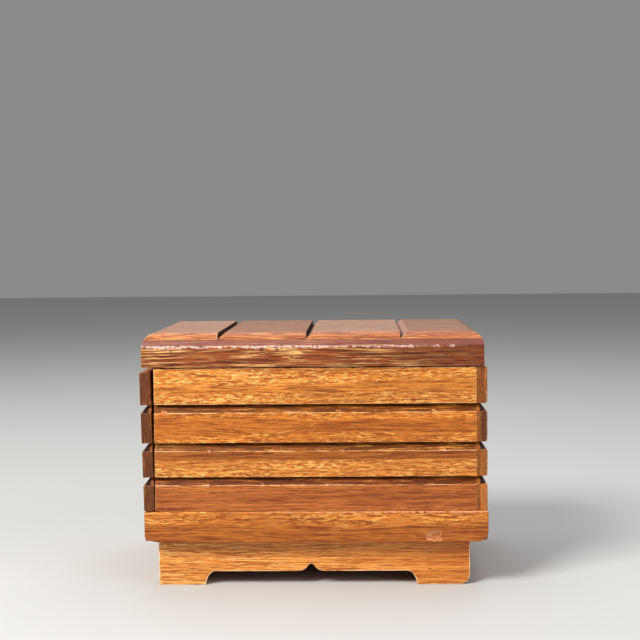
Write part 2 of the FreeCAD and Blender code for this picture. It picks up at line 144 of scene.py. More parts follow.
class Tree:
    """Short ways to add and join the nodes of one shader tree."""

    def __init__(self, tree: bpy.types.NodeTree) -> None:
        self.tree = tree

    def add(self, kind: str, **settings: object) -> bpy.types.Node:
        """Adds a node and sets its options."""
        node = self.tree.nodes.new(kind)
        for name, value in settings.items():
            setattr(node, name, value)
        return node

    def feed(self, socket: Socket, value: object) -> None:
        """Links a socket to an input, or sets the input's own value."""
        if isinstance(value, bpy.types.NodeSocket):
            self.tree.links.new(value, socket)
        else:
            socket.default_value = value

    def math(self, operation: str, first: object, second: object = 0.0, clamp: bool = False) -> Socket:
        """One step of arithmetic on two values."""
        node = self.add("ShaderNodeMath", operation=operation, use_clamp=clamp)
        self.feed(node.inputs[0], first)
        self.feed(node.inputs[1], second)
        return node.outputs[0]

    def vector(self, operation: str, first: object, second: object) -> bpy.types.Node:
        """One step of arithmetic on two vectors."""
        node = self.add("ShaderNodeVectorMath", operation=operation)
        self.feed(node.inputs[0], first)
        self.feed(node.inputs[1], second)
        return node

    def step(self, value: object, low: object, high: object) -> Socket:
        """A smooth rise from 0 at low to 1 at high."""
        node = self.add("ShaderNodeMapRange", interpolation_type="SMOOTHSTEP")
        self.feed(node.inputs["Value"], value)
        self.feed(node.inputs["From Min"], low)
        self.feed(node.inputs["From Max"], high)
        return node.outputs["Result"]

    def span(self, value: object, low: float, high: float) -> Socket:
        """A straight run from low at 0 to high at 1."""
        node = self.add("ShaderNodeMapRange")
        self.feed(node.inputs["Value"], value)
        self.feed(node.inputs["To Min"], low)
        self.feed(node.inputs["To Max"], high)
        return node.outputs["Result"]

    def mix(self, share: object, first: object, second: object, blend: str = "MIX") -> Socket:
        """Mixes two colours by a share."""
        node = self.add("ShaderNodeMix", data_type="RGBA", blend_type=blend, clamp_factor=True)
        self.feed(node.inputs[0], share)
        self.feed(node.inputs[6], first)
        self.feed(node.inputs[7], second)
        return node.outputs[2]

    def sway(self, place: Socket, drift: Socket, reach: object) -> Socket:
        """Moves a place across the grain by the colour of a noise."""
        centred = self.vector("SUBTRACT", drift, (0.5, 0.5, 0.5)).outputs[0]
        crosswise = self.vector("MULTIPLY", centred, (0.0, 1.0, 1.0)).outputs[0]
        scaled = self.add("ShaderNodeVectorMath", operation="SCALE")
        self.feed(scaled.inputs[0], crosswise)
        self.feed(scaled.inputs["Scale"], reach)
        return self.vector("ADD", place, scaled.outputs[0]).outputs[0]

    def noise(
        self,
        place: Socket,
        stretch: object,
        detail: float = 2.0,
        rough: float = 0.5,
        bend: float = 0.0,
    ) -> bpy.types.Node:
        """Noise over a stretched place; stretch holds cycles per millimetre along and across the grain."""
        node = self.add("ShaderNodeTexNoise")
        self.feed(node.inputs["Vector"], self.vector("MULTIPLY", place, stretch).outputs[0])
        self.feed(node.inputs["Scale"], 1.0)
        self.feed(node.inputs["Detail"], detail)
        self.feed(node.inputs["Roughness"], rough)
        self.feed(node.inputs["Distortion"], bend)
        return node


@dataclass
class Group:
    """A node group under construction: its tree, its inputs and its outputs."""

    name: str
    inputs: dict[str, str]
    outputs: dict[str, str]
    tree: bpy.types.NodeTree = field(init=False)
    build: Tree = field(init=False)
    source: bpy.types.Node = field(init=False)
    sink: bpy.types.Node = field(init=False)

    def __post_init__(self) -> None:
        self.tree = bpy.data.node_groups.new(self.name, "ShaderNodeTree")
        for name, kind in self.inputs.items():
            self.tree.interface.new_socket(name=name, in_out="INPUT", socket_type=f"NodeSocket{kind}")
        for name, kind in self.outputs.items():
            self.tree.interface.new_socket(name=name, in_out="OUTPUT", socket_type=f"NodeSocket{kind}")
        self.build = Tree(self.tree)
        self.source = self.tree.nodes.new("NodeGroupInput")
        self.sink = self.tree.nodes.new("NodeGroupOutput")

    def value(self, name: str) -> Socket:
        """One of the group's inputs, as seen from inside."""
        return self.source.outputs[name]

    def give(self, name: str, socket: Socket) -> None:
        """Sends a result to one of the group's outputs."""
        self.tree.links.new(socket, self.sink.inputs[name])

    def use(self, tree: Tree, **values: object) -> bpy.types.Node:
        """Adds the group to a material and feeds its inputs, whose names are given with underscores."""
        node = tree.add("ShaderNodeGroup")
        node.node_tree = self.tree
        for name, value in values.items():
            tree.feed(node.inputs[name.replace("_", " ").capitalize()], value)
        return node


def wood_group() -> Group:
    """Grain, ribbon, flecks and pores of a plank whose grain runs along X.

    Returns:
        The group; Plain centre, width and shade set a band across the height that is darker and has no
        flecks, and Lean paints shade that grows from left to right: the wood darker and its flecks fainter.
    """
    group = Group(
        "Wood figure",
        {
            "Place": "Vector",
            "Height": "Float",
            "Run": "Float",
            "Dark": "Color",
            "Mid": "Color",
            "Light": "Color",
            "Fleck length": "Float",
            "Fleck height": "Float",
            "Fleck amount": "Float",
            "Curl": "Float",
            "Lean": "Float",
            "Plain centre": "Float",
            "Plain width": "Float",
            "Plain shade": "Float",
        },
        {"Color": "Color", "Relief": "Float", "Sheen": "Float"},
    )
    build = group.build
    place = group.value("Place")

    wander = build.noise(place, (0.014, 0.07, 0.07), detail=2.0).outputs["Color"]
    bent = build.sway(place, wander, 4.0)
    ribbon = build.noise(bent, (0.008, 0.22, 0.22), detail=2.0).outputs["Fac"]

    level = build.math("ADD", group.value("Height"), build.span(ribbon, -3.0, 3.0))
    offset = build.math("ABSOLUTE", build.math("SUBTRACT", level, group.value("Plain centre")))
    half = build.math("MULTIPLY", group.value("Plain width"), 0.5)
    lively = build.step(offset, build.math("SUBTRACT", half, 0.8), build.math("ADD", half, 0.8))

    curl = build.noise(place, (0.16, 0.30, 0.30), detail=1.0).outputs["Color"]
    curled = build.sway(bent, curl, build.math("MULTIPLY", lively, group.value("Curl")))
    stretch = build.add("ShaderNodeCombineXYZ")
    build.feed(stretch.inputs["X"], build.math("DIVIDE", 1.0, group.value("Fleck length")))
    build.feed(stretch.inputs["Y"], build.math("DIVIDE", 1.0, group.value("Fleck height")))
    build.feed(stretch.inputs["Z"], build.math("DIVIDE", 1.0, group.value("Fleck height")))
    fleck = build.noise(curled, stretch.outputs[0], detail=3.0, rough=0.66, bend=0.3).outputs["Fac"]
    fibre = build.noise(bent, (0.055, 1.9, 1.9), detail=4.0, rough=0.70).outputs["Fac"]
    pores = build.noise(curled, (0.13, 2.4, 2.4), detail=1.5).outputs["Fac"]
    pore_mask = build.step(pores, 0.57, 0.66)

    # Painted shade: Lean darkens the wood and fades its flecks from left to right, where less light falls.
    leaning = build.math("MULTIPLY", group.value("Run"), group.value("Lean"))
    fade = build.math("SUBTRACT", 1.0, leaning)
    amount = build.math("MULTIPLY", group.value("Fleck amount"), fade, clamp=True)
    mottle = build.noise(bent, (0.045, 0.16, 0.16), detail=2.0).outputs["Fac"]
    patchy = build.span(build.step(mottle, 0.36, 0.60), 0.35, 1.0)
    vivid = build.math("MULTIPLY", build.span(lively, 0.25, 1.0), patchy)
    bright = build.math("MULTIPLY", build.step(fleck, 0.49, 0.62), build.math("MULTIPLY", amount, vivid))
    shade = build.math("MULTIPLY", build.step(fleck, 0.47, 0.34), build.math("MULTIPLY", vivid, 0.9))
    ground = build.mix(build.step(fibre, 0.36, 0.58), group.value("Dark"), group.value("Mid"))
    flecked = build.mix(shade, build.mix(bright, ground, group.value("Light")), group.value("Dark"))
    low = build.math("MULTIPLY", build.step(ribbon, 0.60, 0.38), 0.5)
    striped = build.mix(low, flecked, (0.66, 0.56, 0.42, 1.0), blend="MULTIPLY")
    still = build.math("MULTIPLY", build.math("SUBTRACT", 1.0, lively), group.value("Plain shade"))
    calm = build.mix(still, striped, (0.48, 0.38, 0.24, 1.0), blend="MULTIPLY")
    streak = build.noise(bent, (0.016, 0.75, 0.75), detail=3.0, rough=0.6).outputs["Fac"]
    streaky = build.math("MULTIPLY", build.step(streak, 0.54, 0.36), 0.6)
    streaked = build.mix(streaky, calm, (0.68, 0.58, 0.46, 1.0), blend="MULTIPLY")
    shaded = build.math("MULTIPLY", leaning, 0.8, clamp=True)
    banded = build.mix(shaded, streaked, group.value("Dark"))
    deep = build.mix(1.0, group.value("Dark"), (0.62, 0.55, 0.50, 1.0), blend="MULTIPLY")
    pored = build.mix(build.math("MULTIPLY", pore_mask, 0.7), banded, deep)

    hollow = build.math("MULTIPLY", pore_mask, 0.6)
    relief = build.math("SUBTRACT", build.math("MULTIPLY", fibre, 0.5), hollow)
    group.give("Color", pored)
    group.give("Relief", relief)
    group.give("Sheen", build.span(fibre, 0.32, 0.50))
    return group


def end_grain_group() -> Group:
    """Speckled, darker end grain where a face is cut across the fibres."""
    group = Group(
        "End grain",
        {"Color": "Color", "End": "Color", "Place": "Vector", "Facing": "Float"},
        {"Color": "Color"},
    )
    build = group.build
    specks = build.noise(group.value("Place"), (0.2, 2.6, 1.3), detail=3.0, rough=0.7).outputs["Fac"]
    rings = build.noise(group.value("Place"), (0.05, 1.1, 0.12), detail=2.0).outputs["Fac"]
    dark = build.mix(1.0, group.value("End"), (0.40, 0.38, 0.34, 1.0), blend="MULTIPLY")
    speckled = build.mix(build.step(specks, 0.62, 0.36), group.value("End"), dark)
    ringed = build.math("MULTIPLY", build.step(rings, 0.50, 0.68), 0.35)
    pale = build.mix(ringed, speckled, group.value("Color"))
    mask = build.step(group.value("Facing"), 0.62, 0.86)
    group.give("Color", build.mix(mask, group.value("Color"), pale))
    return group


def wear_and_highlight_group() -> Group:
    """Varnish rubbed thin along the arrises, broken up by noise; its pale colour also paints the highlights
    on the edges.
    """
    group = Group(
        "Edge wear and painted highlight",
        {"Color": "Color", "Worn": "Color", "Edge": "Float", "Place": "Vector", "Amount": "Float"},
        {"Color": "Color", "Mask": "Float"},
    )
    build = group.build
    patches = build.noise(group.value("Place"), (0.16, 0.5, 0.5), detail=4.0, rough=0.7).outputs["Fac"]
    # Worn varnish and painted highlight on the rounded faces.
    rubbed_and_lit = build.math("MULTIPLY", build.step(patches, 0.36, 0.60), group.value("Edge"))
    mask = build.math("MULTIPLY", rubbed_and_lit, group.value("Amount"), clamp=True)
    group.give("Color", build.mix(mask, group.value("Color"), group.value("Worn")))
    group.give("Mask", mask)
    return group


def grime_and_shade_group() -> Group:
    """Old polish and dirt on the slopes of the grooves with painted shade from the strip above, and a painted
    shadow, black and matt, at the bottom of each and on the square walls.
    """
    group = Group(
        "Groove grime",
        {
            "Color": "Color",
            "Grime": "Color",
            "Rise": "Float",
            "Facing": "Float",
            "Depth": "Float",
            "Black from": "Float",
            "Wall": "Float",
            "Place": "Vector",
            "Amount": "Float",
            "Sheen": "Float",
            "Coat": "Float",
        },
        {"Color": "Color", "Roughness": "Float", "Coat": "Float"},
    )
    build = group.build
    slope = build.math(
        "MULTIPLY",
        build.step(group.value("Rise"), 0.35, 0.60),
        build.step(group.value("Facing"), 0.30, 0.50),
    )
    # The slope colour is old polish and dirt together with painted shade, where the strip above keeps the
    # light off.
    patches = build.noise(group.value("Place"), (0.07, 0.9, 0.9), detail=4.0, rough=0.6).outputs["Fac"]
    share = build.math("MULTIPLY", slope, build.step(patches, 0.30, 0.58))
    share = build.math("MULTIPLY", share, group.value("Amount"), clamp=True)
    grimed_and_shaded = build.mix(share, group.value("Color"), group.value("Grime"))
    # Painted shadow: black and matt at the bottom of each slope and on the square walls beneath the strips.
    blackest = build.math("ADD", group.value("Black from"), 0.3)
    deepest = build.step(group.value("Depth"), group.value("Black from"), blackest)
    bottom = build.math("MULTIPLY", slope, deepest)
    painted_shadow = build.math("MAXIMUM", bottom, build.step(group.value("Wall"), 0.80, 0.95))
    group.give("Color", build.mix(painted_shadow, grimed_and_shaded, (0.022, 0.007, 0.004, 1.0)))
    group.give("Roughness", build.math("ADD", group.value("Sheen"), painted_shadow, clamp=True))
    group.give("Coat", build.math("MULTIPLY", group.value("Coat"), build.math("SUBTRACT", 1.0, painted_shadow)))
    return group


def dust_and_sheen_group() -> Group:
    """A thin film of dust on faces that look up, which also paints the greyish sheen that they reflect."""
    group = Group(
        "Dust",
        {
            "Color": "Color",
            "Dust": "Color",
            "Rise": "Float",
            "Least rise": "Float",
            "Full rise": "Float",
            "Place": "Vector",
            "Amount": "Float",
        },
        {"Color": "Color"},
    )
    build = group.build
    patches = build.noise(group.value("Place"), (0.06, 0.30, 0.30), detail=4.0, rough=0.7).outputs["Fac"]
    lying = build.step(group.value("Rise"), group.value("Least rise"), group.value("Full rise"))
    film = build.math("MULTIPLY", lying, build.span(build.step(patches, 0.30, 0.66), 0.55, 1.15))
    share = build.math("MULTIPLY", film, group.value("Amount"), clamp=True)
    group.give("Color", build.mix(share, group.value("Color"), group.value("Dust")))
    return group


def rubbed_and_lit_line_group() -> Group:
    """A ragged pale line at one height along the front edge of a board: varnish rubbed where a hand meets it,
    and a painted highlight that is strongest on faces looking forward and fades along the run.
    """
    group = Group(
        "Rubbed line and painted highlight",
        {
            "Color": "Color",
            "Worn": "Color",
            "Height": "Float",
            "Level": "Float",
            "Run": "Float",
            "Full at": "Float",
            "Gone at": "Float",
            "Back": "Float",
            "Place": "Vector",
        },
        {"Color": "Color"},
    )
    build = group.build
    ragged = build.noise(group.value("Place"), (0.34, 0.5, 0.5), detail=4.0, rough=0.75).outputs["Fac"]
    raised = build.math("ADD", group.value("Height"), build.span(ragged, -1.6, 1.6))
    away = build.math("ABSOLUTE", build.math("SUBTRACT", raised, group.value("Level")))
    rubbed_and_lit = build.step(ragged, 0.40, 0.52)
    # Painted highlight: strongest on faces that look forward, and fading from Full at to Gone at along the
    # run.
    front = build.span(build.step(group.value("Back"), -0.1, -0.4), 0.15, 1.0)
    fading = build.step(group.value("Run"), group.value("Gone at"), group.value("Full at"))
    fade = build.math("MULTIPLY", fading, front)
    line = build.math("MULTIPLY", build.step(away, 0.50, 0.15), build.math("MULTIPLY", rubbed_and_lit, fade))
    group.give("Color", build.mix(line, group.value("Color"), group.value("Worn")))
    return group


def tarnish_group() -> Group:
    """Brown tarnish in soft patches on brass."""
    group = Group(
        "Tarnish",
        {"Place": "Vector", "Clean": "Color", "Dull": "Color"},
        {"Color": "Color", "Roughness": "Float"},
    )
    build = group.build
    patches = build.noise(group.value("Place"), (0.35, 0.35, 0.35), detail=4.0, rough=0.65).outputs["Fac"]
    mask = build.step(patches, 0.40, 0.68)
    group.give("Color", build.mix(mask, group.value("Clean"), group.value("Dull")))
    group.give("Roughness", build.span(mask, 0.26, 0.55))
    return group


@dataclass(frozen=True)
class PlainBand:
    """A band across the height of a board where the wood shows no figure."""

    centre: float = 0.0
    width: float = -20.0
    shade: float = 0.0


@dataclass(frozen=True)
class Cut:
    """How a piece is cut from its plank.

    Attributes:
        grain: the way that the grain runs.
        plain: its band without figure.
        outward: the way that the slope of its groove looks.
        wall: the way that the square wall of a groove looks; that wall gets a black painted shadow.
        face: the way that its grooved face looks, from which the groove's depth is measured.
        hipped: whether the groove runs on across the ends of the piece.
    """

    grain: Grain
    plain: PlainBand = PlainBand()
    outward: Direction = NOWHERE
    wall: Direction = NOWHERE
    face: Direction = NOWHERE
    hipped: bool = False


@dataclass(frozen=True)
class Workshop:
    """The node groups that every finish shares."""

    wood: Group
    end_grain: Group
    wear_and_highlight: Group
    grime: Group
    dust: Group
    arris: Group
    tarnish: Group

    @classmethod
    def open(cls) -> "Workshop":
        """Makes each group once."""
        return cls(
            wood_group(),
            end_grain_group(),
            wear_and_highlight_group(),
            grime_and_shade_group(),
            dust_and_sheen_group(),
            rubbed_and_lit_line_group(),
            tarnish_group(),
        )


@dataclass(frozen=True)
class WoodFinish:
    """A varnished wood: its tones, the shape of its flecks, how far it is worn, and the shade, highlights and
    sheen painted on it.
    """

    dark: Colour
    mid: Colour
    light: Colour
    end: Colour
    # Pale colour of rubbed varnish, which also paints the highlights on edges and arrises.
    worn: Colour
    # Colour of the groove slopes: old polish and dirt with painted shade.
    grime: Colour
    # Colour of dust, and of the painted sheen, on faces that look up.
    dust: Colour = srgb(190, 166, 150)
    fleck_length: float = 2.8
    fleck_height: float = 0.52
    fleck_amount: float = 0.85
    curl: float = 1.7
    # Painted shade that grows from left to right.
    lean: float = 0.0
    grime_and_shade_amount: float = 1.0
    # From this share of a groove's depth down, the slope gets a black painted shadow.
    black_from: float = 0.80
    wear_and_highlight_amount: float = 0.8
    dust_and_sheen_amount: float = 0.0
    dust_and_sheen_rise: float = 0.93
    # A ragged pale line at one height: rubbed varnish and a painted highlight.
    rubbed_and_lit_level: float = -10.0
    rubbed_and_lit_full: float = -30.0
    rubbed_and_lit_gone: float = 70.0
    coat: float = 0.12

    def material(self, name: str, shop: Workshop, cut: Cut, seed: int) -> bpy.types.Material:
        """Makes the wood of one piece.

        Args:
            name: name of the piece.
            shop: the shared node groups.
            cut: how the piece is cut from the plank.
            seed: which part of the plank the piece is cut from.

        Returns:
            The new material.
        """
        grain = cut.grain
        plain = cut.plain
        material = bpy.data.materials.new(f"{name}_wood")
        material.use_nodes = True
        tree = Tree(material.node_tree)
        shader = material.node_tree.nodes["Principled BSDF"]

        where = tree.add("ShaderNodeTexCoord")
        mapping = tree.add("ShaderNodeMapping", vector_type="POINT")
        tree.feed(mapping.inputs["Vector"], where.outputs["Object"])
        mapping.inputs["Scale"].default_value = (1 / MM, 1 / MM, 1 / MM)
        mapping.inputs["Rotation"].default_value = grain.turn
        mapping.inputs["Location"].default_value = (seed * 211.0 % 1009, seed * 37.0 % 211, seed * 53.0 % 307)
        place = mapping.outputs["Vector"]
        split = tree.add("ShaderNodeSeparateXYZ")
        tree.feed(split.inputs[0], where.outputs["Object"])
        height = tree.math("DIVIDE", split.outputs["Z"], MM)
        run = tree.math("DIVIDE", split.outputs["X"], MM)
        normal = where.outputs["Normal"]
        facing = tree.math("ABSOLUTE", tree.vector("DOT_PRODUCT", normal, grain.axis).outputs["Value"])
        rise = tree.add("ShaderNodeSeparateXYZ")
        tree.feed(rise.inputs[0], normal)
        outward = tree.vector("DOT_PRODUCT", normal, cut.outward).outputs["Value"]
        if cut.hipped:
            outward = tree.math("MAXIMUM", outward, facing)
        edge = tree.add("ShaderNodeAttribute", attribute_name="wear_and_highlight")
        depth = tree.add("ShaderNodeAttribute", attribute_name="depth")

        wood = shop.wood.use(
            tree,
            place=place,
            height=height,
            run=run,
            dark=self.dark,
            mid=self.mid,
            light=self.light,
            fleck_length=self.fleck_length,
            fleck_height=self.fleck_height,
            fleck_amount=self.fleck_amount,
            curl=self.curl,
            lean=self.lean,
            plain_centre=plain.centre,
            plain_width=plain.width,
            plain_shade=plain.shade,
        )
        ended = shop.end_grain.use(
            tree, color=wood.outputs["Color"], end=self.end, place=place, facing=facing
        )
        grimed_and_shaded = shop.grime.use(
            tree,
            color=ended.outputs["Color"],
            grime=self.grime,
            rise=rise.outputs["Z"],
            facing=outward,
            depth=depth.outputs["Fac"],
            black_from=self.black_from,
            wall=tree.vector("DOT_PRODUCT", normal, cut.wall).outputs["Value"],
            place=place,
            amount=self.grime_and_shade_amount,
            sheen=wood.outputs["Sheen"],
            coat=self.coat,
        )
        worn = shop.wear_and_highlight.use(
            tree,
            color=grimed_and_shaded.outputs["Color"],
            worn=self.worn,
            edge=edge.outputs["Fac"],
            place=place,
            amount=self.wear_and_highlight_amount,
        )
        rubbed_and_lit = shop.arris.use(
            tree,
            color=worn.outputs["Color"],
            worn=self.worn,
            height=height,
            level=self.rubbed_and_lit_level,
            run=run,
            full_at=self.rubbed_and_lit_full,
            gone_at=self.rubbed_and_lit_gone,
            back=rise.outputs["Y"],
            place=place,
        )
        dusty_and_sheened = shop.dust.use(
            tree,
            color=rubbed_and_lit.outputs["Color"],
            dust=self.dust,
            rise=rise.outputs["Z"],
            least_rise=self.dust_and_sheen_rise,
            full_rise=min(1.0, self.dust_and_sheen_rise + DUST_AND_SHEEN_BLEND),
            place=place,
            amount=self.dust_and_sheen_amount,
        )
        bump = tree.add("ShaderNodeBump")
        bump.inputs["Strength"].default_value = 0.25
        bump.inputs["Distance"].default_value = 0.15 * MM
        tree.feed(bump.inputs["Height"], wood.outputs["Relief"])
        tree.feed(shader.inputs["Base Color"], dusty_and_sheened.outputs["Color"])
        tree.feed(shader.inputs["Roughness"], grimed_and_shaded.outputs["Roughness"])
        tree.feed(shader.inputs["Coat Weight"], grimed_and_shaded.outputs["Coat"])
        tree.feed(shader.inputs["Normal"], bump.outputs["Normal"])
        shader.inputs["Specular IOR Level"].default_value = 0.3
        shader.inputs["Coat Roughness"].default_value = 0.25
        return material


@dataclass(frozen=True)
class BrassFinish:
    """Old brass, clean where it is handled and brown elsewhere."""

    clean: Colour
    dull: Colour

    def material(self, name: str, shop: Workshop) -> bpy.types.Material:
        """Makes the brass of one piece."""
        material = bpy.data.materials.new(f"{name}_brass")
        material.use_nodes = True
        tree = Tree(material.node_tree)
        shader = material.node_tree.nodes["Principled BSDF"]
        where = tree.add("ShaderNodeTexCoord")
        mapping = tree.add("ShaderNodeMapping", vector_type="POINT")
        tree.feed(mapping.inputs["Vector"], where.outputs["Object"])
        mapping.inputs["Scale"].default_value = (1 / MM, 1 / MM, 1 / MM)
        tarnish = shop.tarnish.use(tree, place=mapping.outputs["Vector"], clean=self.clean, dull=self.dull)
        tree.feed(shader.inputs["Base Color"], tarnish.outputs["Color"])
        tree.feed(shader.inputs["Roughness"], tarnish.outputs["Roughness"])
        shader.inputs["Metallic"].default_value = 1.0
        return material


HONEY = WoodFinish(
    dark=srgb(142, 66, 10),
    mid=srgb(212, 126, 44),
    light=srgb(252, 190, 100),
    end=srgb(150, 84, 24),
    worn=srgb(250, 194, 134),
    grime=srgb(96, 46, 10),
)
SMOOTH_HONEY = replace(HONEY, dark=srgb(148, 70, 8), mid=srgb(212, 124, 36), light=srgb(255, 188, 96))
DULL_HONEY = replace(
    HONEY,
    dark=srgb(136, 62, 14),
    mid=srgb(198, 114, 48),
    light=srgb(228, 152, 84),
    grime=srgb(90, 38, 4),
    fleck_length=5.0,
    fleck_amount=0.6,
)
BRIGHT_HONEY = replace(HONEY, dark=srgb(152, 72, 10), mid=srgb(228, 144, 56), light=srgb(255, 204, 118))
LONG_HONEY = replace(
    HONEY,
    dark=srgb(142, 62, 6),
    mid=srgb(218, 130, 44),
    worn=srgb(222, 152, 110),
    fleck_length=5.0,
    wear_and_highlight_amount=1.0,
    # Painted highlight with rubbed varnish along the top front edge of the base board, full at the right.
    rubbed_and_lit_level=29.2,
    rubbed_and_lit_full=40.0,
    rubbed_and_lit_gone=-50.0,
)
FOOT_HONEY = replace(
    HONEY,
    dark=srgb(172, 88, 20),
    mid=srgb(244, 162, 76),
    light=srgb(255, 208, 130),
    worn=srgb(255, 214, 164),
    fleck_length=9.0,
    fleck_amount=0.5,
    curl=0.9,
    # Painted shade: the plinth grows darker towards the right.
    lean=0.010,
    wear_and_highlight_amount=1.0,
)
# Dark end grain for the left panel; black from a quarter of a groove's depth.
DARK_ENDS = replace(HONEY, end=srgb(104, 50, 16), black_from=0.25, wear_and_highlight_amount=0.2)
# The lid strips: a greyish film on their tops, dust and a painted sheen; pale pinkish slopes at the joints,
# dust and a painted highlight where they face the light.
LID_HONEY = replace(
    HONEY,
    dark=srgb(128, 58, 20),
    mid=srgb(198, 114, 58),
    light=srgb(244, 178, 112),
    end=srgb(120, 70, 50),
    grime=srgb(188, 150, 136),
    dust=srgb(174, 152, 140),
    fleck_length=9.0,
    fleck_height=0.45,
    curl=0.4,
    dust_and_sheen_amount=0.55,
    grime_and_shade_amount=0.9,
    black_from=0.75,
    coat=0.05,
)
DIM_LID_HONEY = replace(
    LID_HONEY, mid=srgb(176, 98, 50), light=srgb(232, 164, 102), dust=srgb(152, 128, 114), dust_and_sheen_amount=0.5
)
DARK_LID = WoodFinish(
    dark=srgb(84, 28, 6),
    mid=srgb(158, 80, 32),
    light=srgb(255, 208, 132),
    end=srgb(96, 42, 18),
    worn=srgb(255, 208, 194),
    grime=srgb(140, 82, 70),
    # Dust and a painted purplish sheen on the lid board's rounded edge and top.
    dust=srgb(130, 76, 68),
    fleck_length=20.0,
    fleck_height=0.44,
    fleck_amount=0.95,
    curl=0.2,
    # Painted shade: the lid board grows darker towards the right.
    lean=0.012,
    dust_and_sheen_amount=0.85,
    dust_and_sheen_rise=0.12,
    # Painted highlight with rubbed varnish along the lid board's front arris, full at the left.
    rubbed_and_lit_level=91.9,
)
INNER = WoodFinish(
    dark=srgb(150, 100, 54),
    mid=srgb(188, 138, 82),
    light=srgb(214, 170, 112),
    end=srgb(150, 100, 54),
    worn=srgb(214, 174, 120),
    grime=srgb(140, 92, 46),
    fleck_length=9.0,
    fleck_amount=0.3,
    grime_and_shade_amount=0.0,
    wear_and_highlight_amount=0.3,
    coat=0.0,
)
BRASS = BrassFinish(clean=srgb(206, 164, 88), dull=srgb(118, 84, 44))


@dataclass(frozen=True)
class Hand:
    """How far hand work and handling have softened the edges of a piece.

    Attributes:
        radius: rounding of every edge.
        outer: rounding of the edges round the grooved face, if they are rounder than the rest.
        segments: flats in each rounding.
        waver: greatest unevenness of the faces.
        pitch: how finely the faces are cut, to be made uneven.
    """

    radius: float = 0.35
    outer: float = 0.0
    segments: int = 2
    waver: float = 0.12
    pitch: float = 4.0


@dataclass(frozen=True)
class Damage:
    """A spot where wood has been lost.

    Attributes:
        centre: the middle of the spot.
        reach: how far it reaches from the middle on each axis.
        sink: how far, and which way, the surface is pushed in the middle.
        bare: how much of the varnish is lost.
        ragged: how uneven the rim is; a worn corner has none of it and is round, a torn chip is squarish.
    """

    centre: Direction
    reach: Direction
    sink: Direction
    bare: float = 0.0
    ragged: float = 0.45

    def share(self, place: Vector) -> float:
        """How much of the full loss a place has: 1 in the middle, 0 outside the rim."""
        power = 4 if self.ragged else 2
        away = sum(((place[axis] / MM - self.centre[axis]) / self.reach[axis]) ** power for axis in range(3))
        if away >= 1.0:
            return 0.0
        if not self.ragged:
            return (1.0 - math.sqrt(away)) ** 2
        return max(0.0, 1.0 - away + self.ragged * (noise.noise(place / MM * RIM_RATE) - 0.5))

    def near(self, place: Vector, margin: float) -> bool:
        """Whether a place lies within a margin of the spot."""
        return all(abs(place[axis] / MM - self.centre[axis]) < self.reach[axis] + margin for axis in range(3))


def nicks(
    rng: random.Random, count: int, y: float, z: float, crowd: float = 1.0, bare: float = 0.0
) -> list[Damage]:
    """Small losses along an arris that runs left to right across the front.

    Args:
        rng: source of chance.
        count: how many there are.
        y: where the face is.
        z: where the arris is.
        crowd: above 1, the nicks crowd towards the left.
        bare: how much of the varnish is lost in each.

    Returns:
        The nicks.
    """
    found = []
    for _ in range(count):
        x = NICKS_START + NICKS_RUN * rng.random() ** crowd
        reach = (rng.uniform(0.6, 1.9), 1.0, rng.uniform(0.4, 0.8))
        found.append(Damage((x, y, z), reach, (0.0, rng.uniform(0.12, 0.35), -0.1), bare))
    return found


